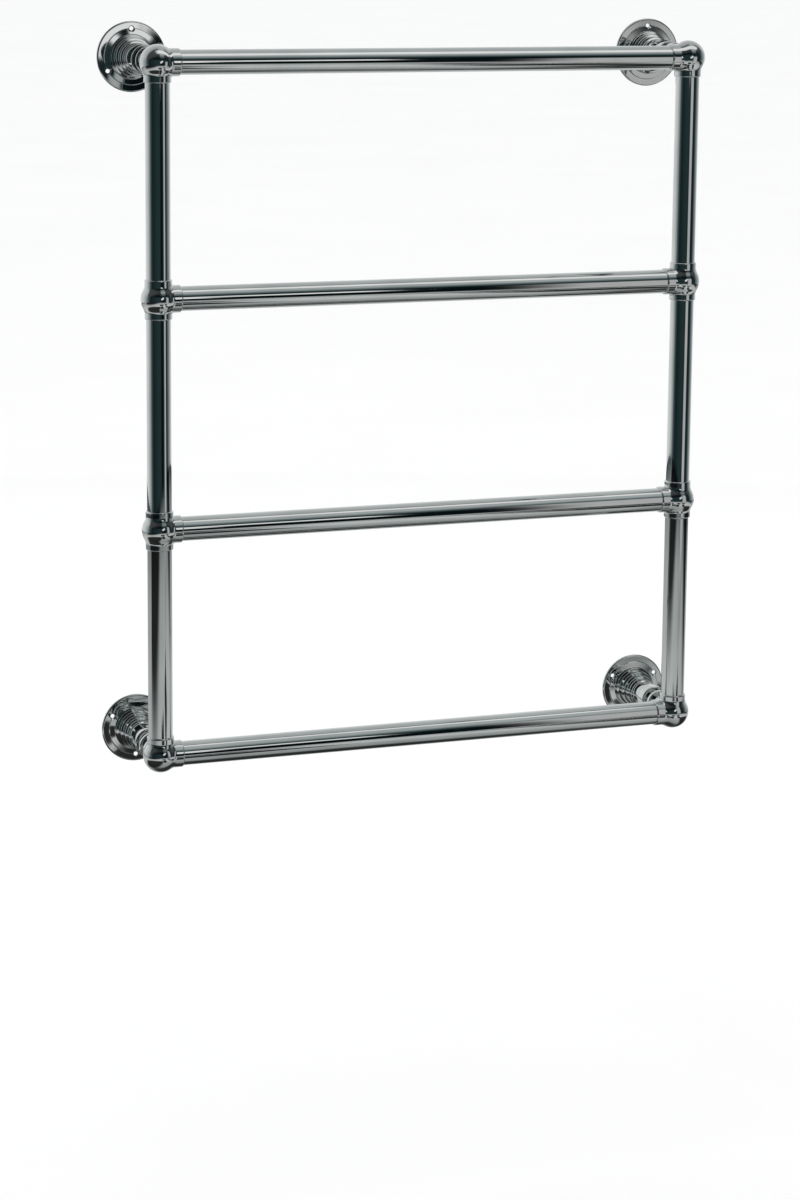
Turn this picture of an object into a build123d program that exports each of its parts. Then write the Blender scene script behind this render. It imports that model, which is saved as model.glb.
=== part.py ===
"""Wall-hung towel warmer rack: a ball-jointed tube ladder on four stand-off stays.

Four rails and six uprights are brazed into eight ball fittings. A stay runs back
from each corner ball to a round wall flange and is drawn up to it by a union nut.
Hot water comes in through the two bottom flanges. The two top stays are blank.

Frame: the wall is the plane y = 0 and the room is at -Y. X runs along the rails and
+Z is up. The origin is on the wall, midway between the four flanges.
"""
from build123d import *
import math
import os

os.makedirs("parts", exist_ok=True)

# Overall sizes, between axes
frame_width = 655.0      # left upright to right upright
rail_spacing = 270.0     # one rail to the next
wall_offset = 125.0      # wall to the plane of the tubes

# Tubes
tube_dia = 28.6
tube_wall = 1.2

# Ball fittings
ball_dia = 41.0
braze_gap = 0.05         # round every brazed tube end
socket_wall = 1.65       # brass outside a socket
seat_wall = 1.2          # brass between two sockets that meet at a corner
rail_socket_depth = 10.0
upright_socket_depth = 7.5
lip_round = 1.3
water_way_radius = 10.0
chamber_radius = 11.5

# Wall flanges
flange_dia = 83.0
rim_height = 3.0
face_height = 4.3
screw_inset = 8.5        # rim to screw centre
screw_hole_radius = 2.5
countersink_radius = 4.4
screws_per_flange = 3
bell_foot_radius = 25.6  # the stepped bell on the flange
bell_neck_step = 0.7     # neck outside the union thread
bell_step_count = 4
bell_step_height = 9.2
bell_shoulder = 1.4      # rise of the cove between two steps
flange_height = 55.0     # wall to the shoulder under the union
inlet_radius = 9.3       # tapping size of a half inch pipe thread
inlet_depth = 16.0
stay_bore_radius = 8.0

# Union between a flange and its stay tail
union_thread_step = 2.0  # thread outside the stay tube
union_thread_length = 8.5
thread_clearance = 0.05
washer_thickness = 1.5
washer_clearance = 0.5
thrust_collar_height = 4.0
thrust_collar_gap = 0.4
nut_start_gap = 0.8
nut_face_gap = 0.1
nut_lip_height = 3.0
nut_wall = 3.3
nut_bore_gap = 0.3
nut_edge_round = 1.6

# Stay tail
stay_radius = 12.0
nut_slide_back = 10.0    # room to draw the nut off its thread
stay_ring_height = 6.0
stay_ring_step = 4.0     # ring outside the stay tube
stay_ring_round = 1.6

# Air vent on the back of the top rail
vent_inset = 70.0        # from the right upright
vent_boss_radius = 8.0
vent_boss_height = 8.0   # proud of the rail
vent_thread_radius = 4.85
vent_thread_length = 6.5
vent_passage_radius = 1.5
vent_hole_radius = 4.0   # through the rail's wall
vent_head_radius = 7.2
vent_head_height = 6.0
vent_seat_inset = 1.2    # the seat's place in the head
seat_gap = 0.05
seat_washer_radius = 2.1
seat_washer_thickness = 1.0
spindle_radius = 2.5
spindle_clearance = 0.05
spindle_key_width = 5.0
spindle_key_length = 5.0
spindle_key_gap = 1.0
bleed_hole_radius = 0.6

# Worked out from the sizes above
tube_radius = tube_dia / 2
collar_radius = tube_radius + socket_wall
tube_seat = tube_radius + seat_wall
rail_reach = tube_seat + rail_socket_depth
upright_reach = tube_seat + upright_socket_depth
flange_radius = flange_dia / 2
screw_circle = flange_radius - screw_inset
union_thread_radius = stay_radius + union_thread_step
bell_neck_radius = union_thread_radius + bell_neck_step
stay_ring_radius = stay_radius + stay_ring_step
union_face = flange_height + union_thread_length
tail_face = union_face + washer_thickness
thrust_end = tail_face + thrust_collar_height
nut_start = flange_height + nut_start_gap
nut_bore = union_thread_radius + thread_clearance
nut_lip = thrust_end + nut_face_gap
nut_end = nut_lip + nut_lip_height
nut_radius = nut_bore + nut_wall
ring_start = nut_end + nut_slide_back
tail_end = wall_offset - tube_seat

rail_names = ["top_rail", "upper_middle_rail", "lower_middle_rail", "bottom_rail"]
upright_rows = ["top", "middle", "bottom"]
sides = {"left": -frame_width / 2, "right": frame_width / 2}
half_height = rail_spacing * (len(rail_names) - 1) / 2
rail_heights = [half_height - rail_spacing * row for row in range(len(rail_names))]

left_way = Vector(-1, 0, 0)
right_way = Vector(1, 0, 0)
up_way = Vector(0, 0, 1)
down_way = Vector(0, 0, -1)
wall_way = Vector(0, 1, 0)


def save(solid, name):
    solid.label = name
    export_step(solid, f"parts/{name}.step")


def ball_centre(x, z):
    return Vector(x, -wall_offset, z)


def port_plane(start, direction, distance=0.0):
    """A sketch plane square to a tube's axis, at a distance along it."""
    return Plane(origin=start + direction * distance, z_dir=direction)


def profile_plane(x, z):
    """Half section of a stay: local X is the radius, local Y the height off the wall."""
    return Plane(origin=(x, 0, z), x_dir=(1, 0, 0), z_dir=(0, 0, -1))


def stay_axis(x, z):
    return Axis((x, 0, z), (0, -1, 0))


# ---- tubes ---------------------------------------------------------------------

def tube(name, start, direction, length, vented=False):
    with BuildPart() as body:
        with BuildSketch(port_plane(start, direction)):
            Circle(tube_radius)
            Circle(tube_radius - tube_wall, mode=Mode.SUBTRACT)
        extrude(amount=length)
        if vented:
            with BuildSketch(port_plane(vent_foot, wall_way)):
                Circle(vent_hole_radius)
            extrude(amount=tube_dia, mode=Mode.SUBTRACT)
    save(body.part, name)


def rail(name, z):
    start = ball_centre(sides["left"], z) + right_way * tube_seat
    length = frame_width - 2 * tube_seat
    tube(name, start, right_way, length, vented=name == "top_rail")


def upright(name, x, z_low):
    start = ball_centre(x, z_low) + up_way * tube_seat
    tube(name, start, up_way, rail_spacing - 2 * tube_seat)


vent_foot = ball_centre(sides["right"] - vent_inset, rail_heights[0])

for name, z in zip(rail_names, rail_heights):
    rail(name, z)

for side, x in sides.items():
    for row, z_low in zip(upright_rows, rail_heights[1:]):
        upright(f"{row}_{side}_upright", x, z_low)


# ---- ball fittings ---------------------------------------------------------------

def ball_fitting(name, centre, tube_ports, stay_port=None, stay_open=False):
    """A ball with a collared socket for each tube. tube_ports pairs way and reach."""
    ports = [(way, reach, tube_radius) for way, reach in tube_ports]
    if stay_port:
        ports.append((stay_port, upright_reach, stay_radius))
    with BuildPart() as fitting:
        with BuildSketch(Plane(origin=centre, x_dir=(1, 0, 0), z_dir=(0, -1, 0))):
            with BuildLine():
                CenterArc((0, 0), ball_dia / 2, -90, 180)
                Line((0, -ball_dia / 2), (0, ball_dia / 2))
            make_face()
        revolve(axis=Axis(centre, (0, 0, 1)))
        for way, reach, radius in ports:
            with BuildSketch(port_plane(centre, way)):
                Circle(collar_radius)
            extrude(amount=reach)
            lip = fitting.faces().filter_by(GeomType.PLANE).sort_by(Axis(centre, way))[-1]
            fillet(lip.edges(), lip_round)
        with BuildSketch(Plane(origin=centre, x_dir=(1, 0, 0), z_dir=(0, -1, 0))):
            with BuildLine():
                CenterArc((0, 0), chamber_radius, -90, 180)
                Line((0, -chamber_radius), (0, chamber_radius))
            make_face()
        revolve(axis=Axis(centre, (0, 0, 1)), mode=Mode.SUBTRACT)
        for way, reach, radius in ports:
            with BuildSketch(port_plane(centre, way, tube_seat)):
                Circle(radius + braze_gap)
            extrude(amount=reach, mode=Mode.SUBTRACT)
            if way != stay_port:
                with BuildSketch(port_plane(centre, way)):
                    Circle(water_way_radius)
                extrude(amount=tube_seat, mode=Mode.SUBTRACT)
        if stay_open:
            with BuildSketch(port_plane(centre, stay_port)):
                Circle(stay_bore_radius)
            extrude(amount=tube_seat, mode=Mode.SUBTRACT)
    save(fitting.part, name)


inward = {"left": right_way, "right": left_way}

for side, x in sides.items():
    rail_port = (inward[side], rail_reach)
    up_port = (up_way, upright_reach)
    down_port = (down_way, upright_reach)
    top = ball_centre(x, rail_heights[0])
    bottom = ball_centre(x, rail_heights[-1])
    ball_fitting(f"top_{side}_ball_elbow", top, [rail_port, down_port], wall_way)
    ball_fitting(f"bottom_{side}_ball_elbow", bottom, [rail_port, up_port], wall_way, True)
    for row, z in zip(["upper", "lower"], rail_heights[1:-1]):
        ball_fitting(f"{row}_{side}_ball_tee", ball_centre(x, z), [rail_port, up_port, down_port])


# ---- wall flanges ------------------------------------------------------------------

def flange_outline():
    """Turned profile of a flange, rim to union face, as corners with their rounding."""
    step_line = screw_circle + 0.2
    corners = [(flange_radius, rim_height, 1.8)]
    corners.append((step_line, rim_height + 0.4, 0.2))
    corners.append((step_line - 0.6, face_height, 0.3))
    corners.append((bell_foot_radius + 0.4, face_height + 0.6, 0.6))
    drop = bell_foot_radius - bell_neck_radius
    crown = face_height
    for step in range(bell_step_count):
        share = (1 - step / bell_step_count) ** 1.25
        next_share = (1 - (step + 1) / bell_step_count) ** 1.25
        crown += bell_step_height * (0.55 if step == 0 else 1.0)
        corners.append((bell_neck_radius + drop * share, crown, 1.2))
        corners.append((bell_neck_radius + drop * next_share + 0.5, crown + bell_shoulder, 0.8))
    return corners


def wall_flange(name, x, z, first_hole, open_inlet):
    corners = flange_outline()
    front = Plane(origin=(x, -face_height, z), x_dir=(1, 0, 0), z_dir=(0, -1, 0))
    with BuildPart() as flange:
        with BuildSketch(profile_plane(x, z)):
            with BuildLine():
                points = [(radius, height) for radius, height, rounding in corners]
                ends = [(bell_neck_radius, flange_height)]
                FilletPolyline(
                    (flange_radius, 0),
                    *points,
                    *ends,
                    radius=[rounding for radius, height, rounding in corners],
                )
                Polyline(
                    (bell_neck_radius, flange_height),
                    (union_thread_radius, flange_height),
                    (union_thread_radius, union_face),
                    (0, union_face),
                    (0, 0),
                    (flange_radius, 0),
                )
            make_face()
        revolve(axis=stay_axis(x, z))
        with Locations(front):
            with PolarLocations(screw_circle, screws_per_flange, start_angle=first_hole):
                CounterSinkHole(screw_hole_radius, countersink_radius, counter_sink_angle=90)
        if open_inlet:
            wall = ball_centre(x, z) + wall_way * wall_offset
            with BuildSketch(port_plane(wall, -wall_way)):
                Circle(inlet_radius)
            extrude(amount=inlet_depth, mode=Mode.SUBTRACT)
            with BuildSketch(port_plane(wall, -wall_way)):
                Circle(stay_bore_radius)
            extrude(amount=union_face, mode=Mode.SUBTRACT)
    save(flange.part, name)


# ---- unions and stay tails -----------------------------------------------------------

def union_washer(name, x, z):
    face = ball_centre(x, z) + wall_way * (wall_offset - tail_face)
    with BuildPart() as washer:
        with BuildSketch(port_plane(face, wall_way)):
            Circle(union_thread_radius - washer_clearance)
            Circle(stay_bore_radius + washer_clearance, mode=Mode.SUBTRACT)
        extrude(amount=washer_thickness)
    save(washer.part, name)


def union_nut(name, x, z):
    with BuildPart() as nut:
        with BuildSketch(profile_plane(x, z)):
            with BuildLine():
                FilletPolyline(
                    (nut_bore, nut_start),
                    (nut_radius, nut_start),
                    (nut_radius, nut_end),
                    (stay_radius + nut_bore_gap, nut_end),
                    radius=nut_edge_round,
                )
                Polyline(
                    (stay_radius + nut_bore_gap, nut_end),
                    (stay_radius + nut_bore_gap, nut_lip),
                    (nut_bore, nut_lip),
                    (nut_bore, nut_start),
                )
            make_face()
        revolve(axis=stay_axis(x, z))
    save(nut.part, name)


def stay_tail(name, x, z):
    collar = union_thread_radius - thrust_collar_gap
    ring_end = ring_start + stay_ring_height
    with BuildPart() as tail:
        with BuildSketch(profile_plane(x, z)):
            with BuildLine():
                Polyline(
                    (stay_radius, ring_start),
                    (stay_radius, thrust_end),
                    (collar, thrust_end),
                    (collar, tail_face),
                    (stay_bore_radius, tail_face),
                    (stay_bore_radius, tail_end),
                    (stay_radius, tail_end),
                    (stay_radius, ring_end),
                )
                FilletPolyline(
                    (stay_radius, ring_end),
                    (stay_ring_radius, ring_end),
                    (stay_ring_radius, ring_start),
                    (stay_radius, ring_start),
                    radius=stay_ring_round,
                )
            make_face()
        revolve(axis=stay_axis(x, z))
    save(tail.part, name)


rows = [("top", rail_heights[0], 90, False), ("bottom", rail_heights[-1], 270, True)]
for row, z, first_hole, open_inlet in rows:
    for side, x in sides.items():
        wall_flange(f"{row}_{side}_wall_flange", x, z, first_hole, open_inlet)
        union_washer(f"{row}_{side}_union_washer", x, z)
        union_nut(f"{row}_{side}_union_nut", x, z)
        stay_tail(f"{row}_{side}_stay_tail", x, z)


# ---- air vent ----------------------------------------------------------------------

boss_end = tube_radius + vent_boss_height
vent_seat = boss_end + vent_seat_inset
head_end = boss_end + vent_head_height
washer_start = vent_seat + seat_gap
spindle_start = washer_start + seat_washer_thickness

with BuildPart() as vent_boss:
    with BuildSketch(port_plane(vent_foot, wall_way)):
        Circle(vent_boss_radius)
    extrude(amount=boss_end)
    with BuildSketch(port_plane(vent_foot, right_way)):
        Circle(tube_radius)
    extrude(amount=2 * vent_boss_radius, both=True, mode=Mode.SUBTRACT)
    rim = vent_boss.faces().sort_by(Axis.Y)[-1]
    chamfer(rim.edges(), 0.6)
    with BuildSketch(port_plane(vent_foot, wall_way)):
        Circle(vent_thread_radius + braze_gap)
    extrude(amount=boss_end, mode=Mode.SUBTRACT)
save(vent_boss.part, "vent_boss")

with BuildPart() as vent_plug:
    with BuildSketch(port_plane(vent_foot, wall_way, boss_end - vent_thread_length)):
        Circle(vent_thread_radius)
    extrude(amount=vent_thread_length)
    with BuildSketch(port_plane(vent_foot, wall_way, boss_end)):
        Circle(vent_head_radius)
    extrude(amount=vent_head_height)
    rim = vent_plug.faces().sort_by(Axis.Y)[-1]
    chamfer(rim.edges(), 0.8)
    with BuildSketch(port_plane(vent_foot, wall_way)):
        Circle(vent_passage_radius)
    extrude(amount=head_end, mode=Mode.SUBTRACT)
    with BuildSketch(port_plane(vent_foot, wall_way, vent_seat)):
        Circle(spindle_radius)
    extrude(amount=vent_head_height, mode=Mode.SUBTRACT)
    with BuildSketch(port_plane(vent_foot + wall_way * (spindle_start - 0.2), down_way)):
        Circle(bleed_hole_radius)
    extrude(amount=2 * vent_head_radius, mode=Mode.SUBTRACT)
save(vent_plug.part, "vent_plug")

with BuildPart() as vent_seat_washer:
    with BuildSketch(port_plane(vent_foot, wall_way, washer_start)):
        Circle(seat_washer_radius)
    extrude(amount=seat_washer_thickness)
save(vent_seat_washer.part, "vent_seat_washer")

with BuildPart() as vent_spindle:
    with BuildSketch(port_plane(vent_foot, wall_way, spindle_start)):
        Circle(spindle_radius - spindle_clearance)
    extrude(amount=head_end + spindle_key_gap - spindle_start)
    with BuildSketch(port_plane(vent_foot, wall_way, head_end + spindle_key_gap)):
        Rectangle(spindle_key_width, spindle_key_width)
    extrude(amount=spindle_key_length)
    key_end = vent_spindle.faces().sort_by(Axis.Y)[-1]
    chamfer(key_end.edges(), 0.5)
save(vent_spindle.part, "vent_spindle")
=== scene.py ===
"""Chrome ball-jointed towel warmer rack: its polished pieces, finishes and studio."""

import math

import bmesh
import bpy
import numpy as np
from bpy.props import (
    FloatProperty,
    FloatVectorProperty,
    IntProperty,
    PointerProperty,
)
from bpy.types import Operator, Panel, PropertyGroup
from mathutils import Matrix, Vector


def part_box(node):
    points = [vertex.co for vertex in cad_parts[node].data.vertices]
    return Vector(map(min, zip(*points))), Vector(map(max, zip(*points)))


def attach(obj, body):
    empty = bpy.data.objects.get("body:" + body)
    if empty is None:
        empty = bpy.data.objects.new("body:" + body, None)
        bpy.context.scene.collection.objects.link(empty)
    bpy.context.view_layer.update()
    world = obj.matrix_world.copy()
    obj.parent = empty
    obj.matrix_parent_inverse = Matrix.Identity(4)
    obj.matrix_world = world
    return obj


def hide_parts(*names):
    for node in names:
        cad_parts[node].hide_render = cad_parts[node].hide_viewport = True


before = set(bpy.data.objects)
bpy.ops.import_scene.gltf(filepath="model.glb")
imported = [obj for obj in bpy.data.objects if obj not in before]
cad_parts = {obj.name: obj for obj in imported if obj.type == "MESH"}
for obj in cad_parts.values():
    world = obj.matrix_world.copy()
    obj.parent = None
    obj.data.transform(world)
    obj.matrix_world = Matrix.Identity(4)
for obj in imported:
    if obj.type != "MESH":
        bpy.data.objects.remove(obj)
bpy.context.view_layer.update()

bl_info = {
    "name": "Towel Warmer Rack",
    "version": (1, 0, 0),
    "blender": (4, 5, 0),
    "location": "View3D > Sidebar > Towel Rack",
    "description": "Polished pieces, finishes and studio for a ball-jointed towel warmer rack",
    "category": "Add Mesh",
}

SIDES = ("left", "right")
CORNERS = [(row, side) for row in ("top", "bottom") for side in SIDES]
LEFT, RIGHT = Vector((-1, 0, 0)), Vector((1, 0, 0))
UP, DOWN = Vector((0, 0, 1)), Vector((0, 0, -1))
TO_WALL, TO_ROOM = Vector((0, 1, 0)), Vector((0, -1, 0))


# ---- places read from the frame --------------------------------------------------------

def middle(node):
    """Centre of a frame node's box."""
    low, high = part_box(node)
    return (low + high) / 2


def span(node, axis):
    """Size of a frame node's box along one axis."""
    low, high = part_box(node)
    return high[axis] - low[axis]


RAIL_NODES = ("top_rail", "upper_middle_rail", "lower_middle_rail", "bottom_rail")
UPRIGHT_NODES = tuple(
    f"{row}_{side}_upright" for side in SIDES for row in ("top", "middle", "bottom")
)
LEFT_X = middle("top_left_upright").x
RIGHT_X = middle("top_right_upright").x
TUBE_Y = middle("top_rail").y
RAIL_Z = [middle(name).z for name in RAIL_NODES]


# ---- sizes and colours a user would change ---------------------------------------------

def length(name, description, default, **more):
    """A length setting in metres."""
    return FloatProperty(
        name=name, description=description, default=default, min=0.0,
        unit="LENGTH", subtype="DISTANCE", precision=4, **more,
    )


def colour(name, description, default):
    """A colour setting."""
    return FloatVectorProperty(
        name=name, description=description, default=default, size=3,
        min=0.0, max=1.0, subtype="COLOR",
    )


def share(name, description, default, top=1.0):
    """A plain number setting from nought."""
    return FloatProperty(
        name=name, description=description, default=default, min=0.0, max=top,
        subtype="FACTOR",
    )


def angle(name, description, degrees):
    """An angle setting, its default given in degrees."""
    return FloatProperty(
        name=name, description=description, default=math.radians(degrees),
        unit="ROTATION", subtype="ANGLE",
    )


class TubeSettings(PropertyGroup):
    """Rails and uprights."""

    diameter: length("Tube diameter", "Outside of every rail and upright", span("top_rail", 2))
    wall: length("Tube wall", "Thickness of the tube wall", 0.0012)
    segments: IntProperty(
        name="Segments", description="Faces round a turned piece",
        default=96, min=24, max=256,
    )


class FittingSettings(PropertyGroup):
    """Ball elbows and ball tees."""

    ball_diameter: length("Ball diameter", "Outside of the ball", 0.041)
    collar_radius: length("Collar radius", "Outside of a socket collar", 0.01595)
    lip_round: length("Lip rounding", "Rounded edge at a collar's mouth", 0.0013)
    fillet: length("Fillet", "Blend between the ball and its collars", 0.0022)
    socket_gap: length("Socket gap", "Clearance round a tube in its socket", 0.00005)
    tube_seat: length("Tube seat", "Ball centre to the end of a tube", 0.0155)
    rail_reach: length("Rail collar reach", "Ball centre to a rail collar's mouth", 0.0255)
    upright_reach: length("Upright collar reach", "Ball centre to the other mouths", 0.023)
    fineness: IntProperty(
        name="Fineness", description="Subdivision of a ball fitting's surface",
        default=7, min=4, max=7,
    )


class FlangeSettings(PropertyGroup):
    """Stepped wall flanges."""

    radius: length("Flange radius", "Outside of a wall flange", span("top_left_wall_flange", 2) / 2)
    rim_height: length("Rim height", "Thickness at the flange's rim", 0.003)
    face_height: length("Face height", "Wall to the raised face", 0.0043)
    screw_circle: length("Screw circle", "Flange centre to a screw hole", 0.033)
    screw_hole_radius: length("Screw hole radius", "Radius of a screw hole", 0.0025)
    countersink_radius: length("Countersink radius", "Radius of a screw hole's mouth", 0.0044)
    screws: IntProperty(name="Screw holes", description="Holes a flange", default=3, min=1, max=8)
    bell_foot: length("Bell foot", "Widest radius of the stepped bell", 0.0256)
    bell_neck: length("Bell neck", "Narrowest radius of the stepped bell", 0.0147)
    bell_steps: IntProperty(
        name="Bell steps", description="Steps on the bell", default=4, min=1, max=8
    )
    bell_step: length("Bell step", "Height of one step", 0.0092)
    bell_shoulder: length("Bell shoulder", "Rise of the cove between two steps", 0.0014)
    height: length("Flange height", "Wall to the shoulder under the union", 0.055)
    union_face: length("Union face", "Wall to the sealing face", 0.0635)
    thread_radius: length("Union thread", "Radius of the union's thread", 0.014)
    inlet_radius: length("Inlet radius", "Bore of a water inlet at the wall", 0.0093)
    inlet_depth: length("Inlet depth", "Depth of a water inlet's tapping", 0.016)
    bore_radius: length("Bore radius", "Water way through a bottom flange", 0.008)


class UnionSettings(PropertyGroup):
    """Union nuts and stay tails."""

    stay_radius: length("Stay radius", "Outside of the stay tube", 0.012)
    nut_radius: length("Nut radius", "Outside of a union nut", span("top_left_union_nut", 2) / 2)
    nut_round: length("Nut rounding", "Rounded edges of a union nut", 0.0016)
    nut_lip: length("Nut lip", "Thickness of the lip that draws the tail", 0.003)
    tail_face: length("Tail face", "Wall to the tail's sealing face", 0.065)
    collar_radius: length("Thrust collar", "Radius of the tail's thrust collar", 0.0136)
    collar_height: length("Thrust collar height", "Height of the thrust collar", 0.004)
    ring_start: length("Ring start", "Wall to the ring on the stay", 0.0821)
    ring_height: length("Ring height", "Width of the ring on the stay", 0.006)
    ring_radius: length("Ring radius", "Outside of the ring on the stay", 0.016)
    ring_round: length("Ring rounding", "Rounded edges of the ring", 0.0016)
    tail_end: length("Tail end", "Wall to the tail's end in its ball", 0.1095)


class FinishSettings(PropertyGroup):
    """Metal, fibre and rubber finishes."""

    plate: colour("Chrome", "Bright chrome plate", (0.60, 0.615, 0.61))
    plate_haze: colour("Chrome haze", "Chrome where it has been handled", (0.535, 0.555, 0.55))
    plate_roughness: share("Chrome roughness", "Roughness of the plate at its brightest", 0.035)
    plate_smear: share("Chrome smear", "Roughness where the plate is smeared", 0.085)
    brass: colour("Brass", "Machined brass", (0.72, 0.55, 0.28))
    brass_dull: colour("Dull brass", "Brass that has tarnished", (0.46, 0.33, 0.15))
    fibre: colour("Fibre", "Pressed red fibre", (0.42, 0.12, 0.09))
    fibre_dark: colour("Dark fibre", "Flecks in the fibre", (0.22, 0.05, 0.035))
    rubber: colour("Rubber", "Matt seat rubber", (0.05, 0.05, 0.05))
    rubber_bloom: colour("Rubber bloom", "Pale bloom on the rubber", (0.11, 0.11, 0.11))


class StageSettings(PropertyGroup):
    """Floor, light and camera."""

    floor_drop: length("Floor drop", "Rack centre to the floor", 1.0)
    floor_colour: colour("Floor", "Plain pale floor", (0.93, 0.93, 0.93))
    room_light: share("Room light", "Brightness of the even room light", 1.14, top=4.0)
    room_dark: colour("Dark side", "Unlit side of the studio", (0.010, 0.024, 0.027))
    panel_light: share("Panel light", "Brightness of the side panel", 0.62, top=4.0)
    ceiling_light: share("Ceiling light", "Brightness of the panel overhead", 1.15, top=4.0)
    card_light: share("Card light", "Brightness of the low reflector", 0.78, top=4.0)
    lens: FloatProperty(
        name="Lens", description="Focal length", default=88.92, min=10, unit="CAMERA"
    )
    camera_place: FloatVectorProperty(
        name="Camera", description="Place of the camera", size=3,
        default=(-1.15384, -3.39929, 0.58858), subtype="TRANSLATION",
    )
    camera_turn: angle("Camera turn", "Turn to the right", 18.8801)
    camera_tilt: angle("Camera tilt", "Tilt below the horizon", 9.5792)
    camera_roll: angle("Camera roll", "Roll about the view", -0.5109)
    camera_shift: FloatProperty(name="Lens shift", description="Vertical shift", default=-0.1667)


class RackSettings(PropertyGroup):
    """Everything that can be set on the rack."""

    tubes: PointerProperty(type=TubeSettings)
    fittings: PointerProperty(type=FittingSettings)
    flanges: PointerProperty(type=FlangeSettings)
    unions: PointerProperty(type=UnionSettings)
    finishes: PointerProperty(type=FinishSettings)
    stage: PointerProperty(type=StageSettings)


# ---- finishes --------------------------------------------------------------------------

class Nodes:
    """Places and joins the nodes of one tree."""

    spacing = 220

    def __init__(self, tree):
        self.tree = tree
        tree.nodes.clear()

    def join(self, source, target):
        self.tree.links.new(source, target)

    def add(self, kind, links=(), values=(), **settings):
        """One node: its settings first, then its input values and its links."""
        made = self.tree.nodes.new(kind)
        made.location = (self.spacing * len(self.tree.nodes), 0)
        for name, value in settings.items():
            setattr(made, name, value)
        for name, value in values:
            made.inputs[name].default_value = value
        for name, source in links:
            self.join(source, made.inputs[name])
        return made

    def maths(self, operation, *terms):
        """One sum; a term is a plain number or a socket."""
        made = self.add("ShaderNodeMath", operation=operation)
        for place, term in enumerate(terms):
            if isinstance(term, (int, float)):
                made.inputs[place].default_value = term
            else:
                self.join(term, made.inputs[place])
        return made.outputs[0]


class Sheet(Nodes):
    """The shader nodes of one material or world."""

    def distance(self, x, y):
        """How far a place is from the rack's own upright axis, along the floor."""
        return self.maths(
            "SQRT", self.maths("ADD", self.maths("MULTIPLY", x, x), self.maths("MULTIPLY", y, y))
        )

    def parts(self, vector):
        """The X, Y and Z of a vector."""
        return self.add("ShaderNodeSeparateXYZ", links=[(0, vector)]).outputs

    def noise(self, coordinates, scale, detail=2.0, roughness=0.5):
        return self.add(
            "ShaderNodeTexNoise", links=[("Vector", coordinates)],
            values=[("Scale", scale), ("Detail", detail), ("Roughness", roughness)],
        ).outputs["Fac"]

    def stretched(self, coordinates, scale):
        return self.add(
            "ShaderNodeMapping", links=[("Vector", coordinates)], values=[("Scale", scale)]
        ).outputs["Vector"]

    def ramp(self, value, stops):
        """Colours by value; stops pairs place and colour."""
        made = self.add("ShaderNodeValToRGB", links=[("Fac", value)])
        elements = made.color_ramp.elements
        while len(elements) > 1:
            elements.remove(elements[-1])
        for number, (place, tint) in enumerate(stops):
            stop = elements[0] if number == 0 else elements.new(place)
            stop.position = place
            stop.color = (*tint, 1.0)
        return made.outputs["Color"]

    def spread(self, value, low, high, from_low=0.0, from_high=1.0, smooth=False):
        """Carries a value from one range to another."""
        return self.add(
            "ShaderNodeMapRange", interpolation_type="SMOOTHSTEP" if smooth else "LINEAR",
            links=[("Value", value)], values=[
                ("From Min", from_low), ("From Max", from_high), ("To Min", low), ("To Max", high),
            ],
        ).outputs["Result"]

    def bump(self, height, strength, distance, under=None):
        return self.add(
            "ShaderNodeBump", values=[("Strength", strength), ("Distance", distance)],
            links=[("Height", height)] + ([("Normal", under)] if under else []),
        ).outputs["Normal"]

    def surface(self, tint, roughness, normal, metallic=0.0):
        shader = self.add(
            "ShaderNodeBsdfPrincipled", values=[("Metallic", metallic)],
            links=[("Base Color", tint), ("Roughness", roughness), ("Normal", normal)],
        )
        self.show(shader.outputs["BSDF"])

    def show(self, shader, kind="ShaderNodeOutputMaterial"):
        """Ends the tree in a shader."""
        self.add(kind, links=[("Surface", shader)])


def new_material(name):
    """A material with an empty tree, its helper, and the coordinates it is painted on."""
    made = bpy.data.materials.new(name)
    made.use_nodes = True
    sheet = Sheet(made.node_tree)
    return made, sheet, sheet.add("ShaderNodeTexCoord").outputs["Object"]


def painted_once(paint):
    """Turns painting steps into a finish that is made at its first use."""

    def finish():
        name = paint.__name__
        if name not in bpy.data.materials:
            _, sheet, where = new_material(name)
            paint(sheet, where, bpy.context.scene.towel_rack.finishes)
        return bpy.data.materials[name]

    return finish


@painted_once
def chrome_plate(sheet, where, finish):
    """Polished chrome on brass: faint tint drift, finger haze, buffing lines."""
    drift = sheet.noise(where, 14.0, detail=3.0)
    tint = sheet.ramp(drift, [(0.30, finish.plate_haze), (0.62, finish.plate)])
    smear = sheet.noise(sheet.stretched(where, (1.0, 1.0, 0.6)), 38.0, detail=4.0, roughness=0.6)
    roughness = sheet.spread(
        smear, finish.plate_roughness, finish.plate_smear, 0.45, 0.85, smooth=True
    )
    lines = sheet.noise(sheet.stretched(where, (900.0, 900.0, 900.0)), 1.0, detail=1.0)
    fine = sheet.bump(lines, 0.012, 0.00005)
    waves = sheet.noise(where, 55.0, detail=1.0)
    sheet.surface(tint, roughness, sheet.bump(waves, 0.05, 0.0002, under=fine), metallic=1.0)


@painted_once
def machined_brass(sheet, where, finish):
    """Bare brass with turning marks and a little tarnish."""
    tarnish = sheet.noise(where, 420.0, detail=4.0)
    tint = sheet.ramp(tarnish, [(0.35, finish.brass_dull), (0.6, finish.brass)])
    roughness = sheet.spread(sheet.noise(where, 800.0, detail=2.0), 0.2, 0.42)
    marks = sheet.noise(sheet.stretched(where, (1.0, 9000.0, 1.0)), 1.0)
    sheet.surface(tint, roughness, sheet.bump(marks, 0.15, 0.0001), metallic=1.0)


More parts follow.
